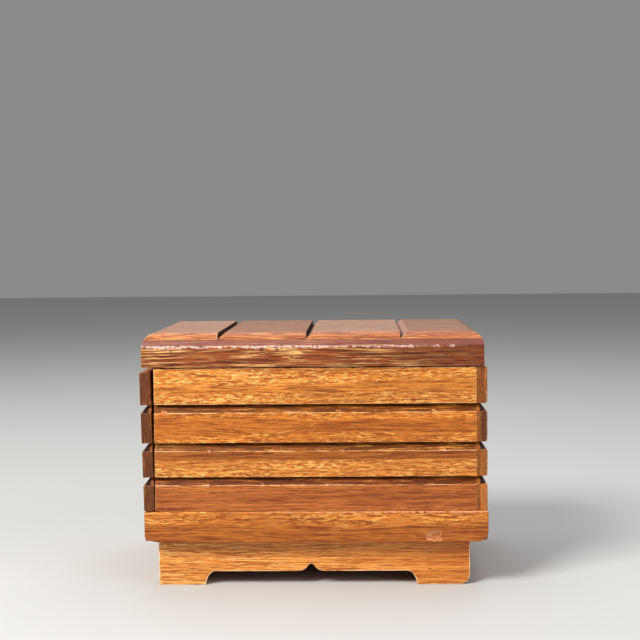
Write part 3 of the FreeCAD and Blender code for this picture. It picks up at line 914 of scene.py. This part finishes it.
@dataclass
class SubAssembly:
    """Pieces worked up from CAD nodes, each riding on the body of its node."""

    shop: Workshop
    seed: int = 1
    made: list[str] = field(default_factory=list)

    def next_seed(self) -> int:
        """A different place in the plank for each piece."""
        self.seed += 1
        return self.seed

    def shape(self, node: str, hand: Hand, face: Direction, losses: Iterable[Damage]) -> bpy.types.Object:
        """Makes a softened copy of a CAD node and puts it in the node's place.

        Args:
            node: name of the CAD node.
            hand: how far its edges are softened.
            face: the way that its grooved face looks.
            losses: where it is damaged.

        Returns:
            The new piece, without a material.
        """
        source = frame["nodes"][node]
        mesh = bpy.data.meshes.new(f"{node}_worked")
        work = bmesh.new()
        work.from_mesh(source.data)
        bmesh.ops.remove_doubles(work, verts=work.verts, dist=WELD_DISTANCE)
        bmesh.ops.dissolve_limit(work, angle_limit=FLAT_ANGLE, verts=work.verts, edges=work.edges)
        self.round_edges(work, hand, Vector(face))
        self.slice_up(work, hand.pitch)
        self.mark_depth(work, Vector(face))
        for spot in losses:
            self.damage(work, spot)
        self.make_uneven(work, hand)
        for facet in work.faces:
            facet.smooth = True
        work.to_mesh(mesh)
        work.free()
        piece = bpy.data.objects.new(f"{node}_worked", mesh)
        bpy.context.scene.collection.objects.link(piece)
        even = piece.modifiers.new("Even shading", "WEIGHTED_NORMAL")
        even.weight = 80
        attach(piece, source["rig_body"])
        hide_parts(node)
        self.made.append(piece.name)
        return piece

    @classmethod
    def round_edges(cls, work: bmesh.types.BMesh, hand: Hand, outward: Vector) -> None:
        """Rounds the sharp edges, those of the grooved face more, and marks the rounded faces for worn
        varnish and painted highlight.
        """
        work.faces.layers.float.new("wear_and_highlight")
        if hand.outer:
            front = max(vert.co.dot(outward) for vert in work.verts) - 0.01 * MM
            rim = [edge for edge in work.edges if all(vert.co.dot(outward) > front for vert in edge.verts)]
            cls.bevel(work, rim, hand.outer, hand.segments + 1)
        cls.bevel(work, work.edges, hand.radius, hand.segments)

    @staticmethod
    def bevel(
        work: bmesh.types.BMesh, edges: Iterable[bmesh.types.BMEdge], radius: float, segments: int
    ) -> None:
        """Bevels those of the edges that are sharp and marks the new faces for worn varnish and painted
        highlight.
        """
        wear_and_highlight = work.faces.layers.float["wear_and_highlight"]
        sharp = [edge for edge in edges if edge.is_manifold and edge.calc_face_angle() > SHARP_ANGLE]
        rounded = bmesh.ops.bevel(
            work,
            geom=sharp,
            offset=radius * MM,
            offset_type="OFFSET",
            affect="EDGES",
            segments=segments,
            profile=0.5,
            clamp_overlap=True,
            material=-1,
        )
        for face in rounded["faces"]:
            face[wear_and_highlight] = 1.0

    @staticmethod
    def slice_up(work: bmesh.types.BMesh, pitch: float) -> None:
        """Cuts the faces every so often in all three directions, so that they can be made uneven."""
        for axis in range(3):
            spread = [vert.co[axis] for vert in work.verts]
            low, high = min(spread), max(spread)
            count = int((high - low) / (pitch * MM))
            direction = Vector((0.0, 0.0, 0.0))
            direction[axis] = 1.0
            for index in range(1, count):
                place = Vector((0.0, 0.0, 0.0))
                place[axis] = low + (high - low) * index / count
                geometry = [*work.verts, *work.edges, *work.faces]
                bmesh.ops.bisect_plane(
                    work, geom=geometry, dist=CUT_TOLERANCE, plane_co=place, plane_no=direction
                )

    @staticmethod
    def damage(work: bmesh.types.BMesh, spot: Damage, pitch: float = 0.45) -> None:
        """Cuts the faces round a spot finely, sinks them and marks them as bare."""
        wear_and_highlight = work.faces.layers.float["wear_and_highlight"]
        for axis in range(3):
            direction = Vector((0.0, 0.0, 0.0))
            direction[axis] = 1.0
            count = max(1, round(spot.reach[axis] / pitch))
            for index in range(-count, count + 1):
                place = Vector(spot.centre) * MM
                place[axis] += spot.reach[axis] * MM * index / count
                faces = [face for face in work.faces if spot.near(face.calc_center_median(), 4.0)]
                edges = {edge for face in faces for edge in face.edges}
                verts = {vert for face in faces for vert in face.verts}
                geometry = [*verts, *edges, *faces]
                bmesh.ops.bisect_plane(
                    work, geom=geometry, dist=CUT_TOLERANCE, plane_co=place, plane_no=direction
                )
        for face in work.faces:
            if spot.share(face.calc_center_median()) > 0.1:
                face[wear_and_highlight] = max(face[wear_and_highlight], spot.bare)
        for vert in work.verts:
            share = spot.share(vert.co)
            if share > 0.0:
                rough = 1.0 + TEAR_STEEPNESS * spot.ragged * noise.noise(vert.co / MM * TEAR_RATE)
                depth = min(1.0, (1.0 + TEAR_STEEPNESS * spot.ragged) * share)
                vert.co += Vector(spot.sink) * MM * depth * rough

    @staticmethod
    def mark_depth(work: bmesh.types.BMesh, outward: Vector) -> None:
        """Marks how far each point lies behind the grooved face, as a share of a groove's depth."""
        depth = work.verts.layers.float.new("depth")
        front = max(vert.co.dot(outward) for vert in work.verts)
        for vert in work.verts:
            vert[depth] = min((front - vert.co.dot(outward)) / (GROOVE_DEPTH * MM), 1.0)

    @staticmethod
    def make_uneven(work: bmesh.types.BMesh, hand: Hand) -> None:
        """Sinks the surface a little here and there, never outwards."""
        work.normal_update()
        moves = []
        for vert in work.verts:
            swell = noise.noise(vert.co / MM * SWELL_RATE) * 0.5 + 0.5
            ripple = noise.noise(vert.co / MM * RIPPLE_RATE) * 0.5 + 0.5
            sunk = SWELL_SHARE * swell + RIPPLE_SHARE * ripple
            moves.append(vert.normal * -sunk * hand.waver * MM)
        for vert, move in zip(work.verts, moves):
            vert.co += move

    def wooden(
        self, node: str, finish: WoodFinish, cut: Cut, hand: Hand = Hand(), losses: Iterable[Damage] = ()
    ) -> bpy.types.Object:
        """Shapes a wooden piece and lays its own wood on it."""
        piece = self.shape(node, hand, cut.face, losses)
        piece.data.materials.append(finish.material(node, self.shop, cut, self.next_seed()))
        return piece


ACROSS = Cut(Grain.ALONG_X)
INWARDS = Cut(Grain.ALONG_Y)
UPRIGHT = Cut(Grain.ALONG_Z)


@dataclass
class Base(SubAssembly):
    """The bracket plinth, its glue blocks and the base board.

    Attributes:
        board_hand: softening of the base board.
        board_plain: a darker band without figure along the lower part of the board.
        board_losses: a torn chip and two worn lower corners.
        plinth_hand: softening of the plinth boards.
        painted_shadow_top: a painted shadow along the top of the plinth, under the base board.
        plinth_losses: the worn lower corner on the right.
    """

    board_hand: Hand = Hand(radius=0.5)
    board_plain: PlainBand = PlainBand(20.0, 7.5, 0.7)
    board_losses: tuple[Damage, ...] = (
        Damage((44.5, -45.0, 20.0), (3.1, 1.4, 2.2), (0.0, 0.7, 0.0), bare=0.5),
        Damage((-65.0, -45.0, 17.6), (7.0, 4.0, 3.0), (0.5, 0.3, 1.3), ragged=0.0),
        Damage((65.0, -45.0, 17.6), (4.0, 4.0, 4.0), (-1.2, 0.3, 1.2), ragged=0.0),
    )
    plinth_hand: Hand = Hand(radius=0.4)
    # Painted shadow: a dark band along the plinth's top, where the base board shades it.
    painted_shadow_top: PlainBand = PlainBand(17.9, 0.6, 0.55)
    plinth_losses: tuple[Damage, ...] = (
        Damage((58.5, -39.2, 0.0), (4.2, 4.2, 4.2), (-1.3, 0.3, 1.3), ragged=0.0),
    )

    def dress(self) -> None:
        """Makes every piece of the base."""
        board = Cut(Grain.ALONG_X, self.board_plain)
        self.wooden("base_board", LONG_HONEY, board, self.board_hand, self.board_losses)
        across = replace(ACROSS, plain=self.painted_shadow_top)
        inwards = replace(INWARDS, plain=self.painted_shadow_top)
        self.wooden("plinth_front", FOOT_HONEY, across, self.plinth_hand, self.plinth_losses)
        self.wooden("plinth_back", FOOT_HONEY, across, self.plinth_hand)
        for side in ("left", "right"):
            self.wooden(f"plinth_{side}", FOOT_HONEY, inwards, self.plinth_hand)
        self.wooden("plinth_corner_blocks", INNER, UPRIGHT)


@dataclass(frozen=True)
class Course:
    """The wood of one course of strips, with the tone of its ends on the right."""

    finish: WoodFinish
    plain: PlainBand
    end: Colour


@dataclass
class Cladding(SubAssembly):
    """The strips glued to the front, the back and the fixed right side.

    Attributes:
        courses: the courses, from the top down.
        nick_seed: start of the chance that places the nicks.
        nick_count: nicks along each arris of a front strip.
        side_hand: softening of the right strips.
        board_hand: softening of the thin board behind them.
    """

    courses: tuple[Course, ...] = (
        Course(BRIGHT_HONEY, PlainBand(76.1, 4.5, 0.15), srgb(140, 72, 22)),
        Course(SMOOTH_HONEY, PlainBand(62.1, 6.0, 0.30), srgb(100, 48, 14)),
        Course(BRIGHT_HONEY, PlainBand(50.6, 4.6, 0.95), srgb(164, 94, 30)),
        Course(DULL_HONEY, PlainBand(34.6, 9.0, 0.22), srgb(196, 116, 44)),
    )
    nick_seed: int = 7
    nick_count: int = 6
    side_hand: Hand = Hand(radius=0.15, outer=0.8)
    board_hand: Hand = Hand(radius=0.06)

    def dress(self) -> None:
        """Makes the four courses of each clad side."""
        rng = random.Random(self.nick_seed)
        for index, course in enumerate(self.courses, start=1):
            low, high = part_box(f"front_strip_{index}")
            face = low.y / MM
            arris = high.z / MM - (CHAMFER_RUN if index > 1 else 0.0)
            worn = nicks(rng, self.nick_count, face, arris) + nicks(rng, self.nick_count, face, low.z / MM)
            # Painted shadow: the undersides of the front and back strips and the bottoms of their grooves are
            # black.
            front = Cut(Grain.ALONG_X, course.plain, AHEAD, BENEATH, AHEAD)
            self.wooden(f"front_strip_{index}", course.finish, front, losses=worn)
            self.wooden(f"back_strip_{index}", course.finish, replace(front, outward=BEHIND, face=BEHIND))
            # The right strips take their course's end grain tone; their undersides get the black painted
            # shadow, and their slopes and the recess across their ends are black from a quarter of a groove's
            # depth.
            side = Cut(Grain.ALONG_Y, course.plain, RIGHT, BENEATH, RIGHT, hipped=True)
            side_finish = replace(course.finish, end=course.end, black_from=0.25, wear_and_highlight_amount=0.2)
            self.wooden(f"right_strip_{index}", side_finish, side, self.side_hand)
        plain_back = replace(HONEY, end=srgb(146, 80, 24), wear_and_highlight_amount=0.0)
        self.wooden("right_panel_back", plain_back, INWARDS, self.board_hand)


@dataclass
class LoosePanel(SubAssembly):
    """The sliding left panel: its strips, its thin back and its runner.

    Attributes:
        courses: how many strips it has.
        strip_hand: softening of the strips.
        board_hand: softening of the thin back.
        runner_hand: softening of the runner.
    """

    courses: int = 4
    strip_hand: Hand = Hand(radius=0.15, outer=0.5)
    board_hand: Hand = Hand(radius=0.06)
    runner_hand: Hand = Hand(radius=0.2)

    def dress(self) -> None:
        """Makes every piece of the panel."""
        side = Cut(Grain.ALONG_Y, outward=LEFT, wall=BENEATH, face=LEFT, hipped=True)
        for index in range(1, self.courses + 1):
            self.wooden(f"left_strip_{index}", DARK_ENDS, side, self.strip_hand)
        # Painted shade: this thin board's dark front end stands for the shade in the gap between the left
        # strips and the front strips.
        self.wooden("left_panel_back", replace(DARK_ENDS, wear_and_highlight_amount=0.0), INWARDS, self.board_hand)
        self.wooden("panel_runner", INNER, INWARDS, self.runner_hand)


@dataclass
class InnerBox(SubAssembly):
    """The plain walls inside and the wooden bolt with its guides, all softened alike."""

    fine: Hand = Hand(radius=0.2, waver=0.06)

    def dress(self) -> None:
        """Makes the walls and the bolt work."""
        for side in ("front", "back"):
            self.wooden(f"{side}_wall", INNER, ACROSS, self.fine)
        for side in ("left", "right"):
            self.wooden(f"{side}_wall", INNER, INWARDS, self.fine)
        for node in ("lock_bolt", "bolt_guide_front", "bolt_guide_back"):
            self.wooden(node, INNER, INWARDS, self.fine)
        self.wooden("bolt_peg", INNER, ACROSS, self.fine)


@dataclass
class Lid(SubAssembly):
    """The dark lid board, the four strips on it and the bolt keeper under it.

    Attributes:
        board_hand: softening of the lid board.
        keeper_hand: softening of the bolt keeper.
        front: where the board's front face is.
        arris: height of its front arris, worn and with a painted highlight.
        nick_seed: start of the chance that places the nicks.
        nick_count: nicks along that arris.
        nick_crowd: how far they crowd towards the left.
        nick_bare_and_lit: how pale each nick is made, for lost varnish and a painted highlight.
    """

    board_hand: Hand = Hand(radius=0.4)
    keeper_hand: Hand = Hand(radius=0.2)
    front: float = -45.0
    arris: float = 91.7
    nick_seed: int = 3
    nick_count: int = 34
    nick_crowd: float = 2.0
    nick_bare_and_lit: float = 0.6

    def dress(self) -> None:
        """Makes every wooden piece of the lid."""
        rng = random.Random(self.nick_seed)
        # The pale nicks, crowded to the left, are worn spots and a painted highlight along the front arris.
        worn = nicks(rng, self.nick_count, self.front, self.arris, self.nick_crowd, self.nick_bare_and_lit)
        self.wooden("lid_board", DARK_LID, ACROSS, self.board_hand, worn)
        # Painted shadow: the square right walls of the lid's joints and the bottoms of their slopes are
        # black.
        inner = Cut(Grain.ALONG_X, outward=LEFT, wall=RIGHT, face=ABOVE)
        self.wooden("lid_strip_1", LID_HONEY, replace(inner, outward=NOWHERE))
        self.wooden("lid_strip_2", DIM_LID_HONEY, inner)
        self.wooden("lid_strip_3", LID_HONEY, inner)
        self.wooden("lid_strip_4", DIM_LID_HONEY, replace(inner, wall=NOWHERE))
        self.wooden("bolt_keeper", INNER, UPRIGHT, self.keeper_hand)


@dataclass
class Hinges(SubAssembly):
    """Two brass butt hinges and their screws, kept as the CAD has them."""

    def dress(self) -> None:
        """Lays the brass on the hinge nodes."""
        for side in ("left", "right"):
            for part in ("lid_leaf", "back_leaf", "pin"):
                self.polish(f"{side}_hinge_{part}")
        for leaf in ("lid", "back"):
            self.polish(f"hinge_screws_{leaf}")

    def polish(self, node: str) -> None:
        """Gives one CAD node its brass."""
        mesh = frame["nodes"][node].data
        mesh.materials.clear()
        mesh.materials.append(BRASS.material(node, self.shop))
        self.made.append(node)
        LOG.info("%s: brass", node)


@dataclass(frozen=True)
class Lamp:
    """A soft rectangular light that looks at the box."""

    name: str
    place: tuple[float, float, float]
    watts: float
    width: float
    colour: tuple[float, float, float] = (1.0, 1.0, 1.0)

    def hang(self) -> None:
        """Adds the light to the scene."""
        light = bpy.data.lights.new(self.name, "AREA")
        light.energy = self.watts
        light.size = self.width
        light.color = self.colour
        lamp = bpy.data.objects.new(self.name, light)
        lamp.location = self.place
        towards = Vector(LAMP_TARGET) - Vector(self.place)
        lamp.rotation_euler = towards.to_track_quat("-Z", "Y").to_euler()
        bpy.context.scene.collection.objects.link(lamp)


@dataclass(frozen=True)
class Camera:
    """The camera of the photo, as fitted to points of the box; its lengths in pixels are the photo's."""

    place: tuple[float, float, float] = (16.16, -548.69, 129.15)
    yaw: float = -1.578
    dip: float = 3.124
    roll: float = -0.541
    focal_pixels: float = 1350.0
    frame_pixels: float = 640.0
    sensor: float = 36.0

    def stand(self) -> None:
        """Adds the camera and makes it the scene's own."""
        yaw, dip, roll = (math.radians(angle) for angle in (self.yaw, self.dip, self.roll))
        ahead = Vector((math.sin(yaw) * math.cos(dip), math.cos(yaw) * math.cos(dip), -math.sin(dip)))
        level = Vector((math.cos(yaw), -math.sin(yaw), 0.0))
        above = level.cross(ahead)
        right = level * math.cos(roll) + above * math.sin(roll)
        up = above * math.cos(roll) - level * math.sin(roll)
        lens = bpy.data.cameras.new("Photo camera")
        lens.sensor_width = self.sensor
        lens.lens = self.sensor * self.focal_pixels / self.frame_pixels
        lens.clip_start = 0.01
        camera = bpy.data.objects.new("Photo camera", lens)
        pose = Matrix((right, up, -ahead)).transposed().to_4x4()
        pose.translation = Vector(self.place) * MM
        camera.matrix_world = pose
        bpy.context.scene.collection.objects.link(camera)
        bpy.context.scene.camera = camera


@dataclass(frozen=True)
class Studio:
    """A pale floor, soft light and the photo's camera."""

    lamps: tuple[Lamp, ...] = (
        Lamp("Key light", (-0.60, -0.75, 0.80), 18.0, 0.45, (1.0, 0.97, 0.92)),
        Lamp("Fill light", (0.70, -0.60, 0.45), 3.0, 0.6, (0.94, 0.97, 1.0)),
        Lamp("Top light", (0.0, 0.30, 0.90), 4.0, 0.8, (0.94, 0.97, 1.0)),
    )
    floor_width: float = 6.0
    world_strength: float = 0.33

    def set_up(self) -> None:
        """Builds the studio."""
        self.lay_floor()
        for lamp in self.lamps:
            lamp.hang()
        Camera().stand()
        scene = bpy.context.scene
        scene.view_settings.view_transform = "Standard"
        world = bpy.data.worlds.new("Studio")
        world.use_nodes = True
        backdrop = world.node_tree.nodes["Background"]
        backdrop.inputs["Color"].default_value = srgb(226, 228, 230)
        backdrop.inputs["Strength"].default_value = self.world_strength
        scene.world = world

    def lay_floor(self) -> None:
        """Adds the floor, which isn't part of the object."""
        work = bmesh.new()
        bmesh.ops.create_grid(work, x_segments=1, y_segments=1, size=self.floor_width / 2)
        mesh = bpy.data.meshes.new("Floor")
        work.to_mesh(mesh)
        work.free()
        material = bpy.data.materials.new("Floor")
        material.use_nodes = True
        shader = material.node_tree.nodes["Principled BSDF"]
        shader.inputs["Base Color"].default_value = srgb(200, 200, 198)
        shader.inputs["Roughness"].default_value = 0.9
        mesh.materials.append(material)
        floor = bpy.data.objects.new("Floor", mesh)
        bpy.context.scene.collection.objects.link(floor)


def main() -> None:
    """Dresses every sub-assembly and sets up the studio."""
    logging.basicConfig(level=logging.INFO, format="%(name)s: %(message)s")
    shop = Workshop.open()
    for seed, kind in enumerate((Base, Cladding, LoosePanel, InnerBox, Lid, Hinges)):
        assembly = kind(shop, seed=seed * 20)
        assembly.dress()
        LOG.info("%s: %d pieces", kind.__name__, len(assembly.made))
    Studio().set_up()


if __name__ == "__main__":
    main()
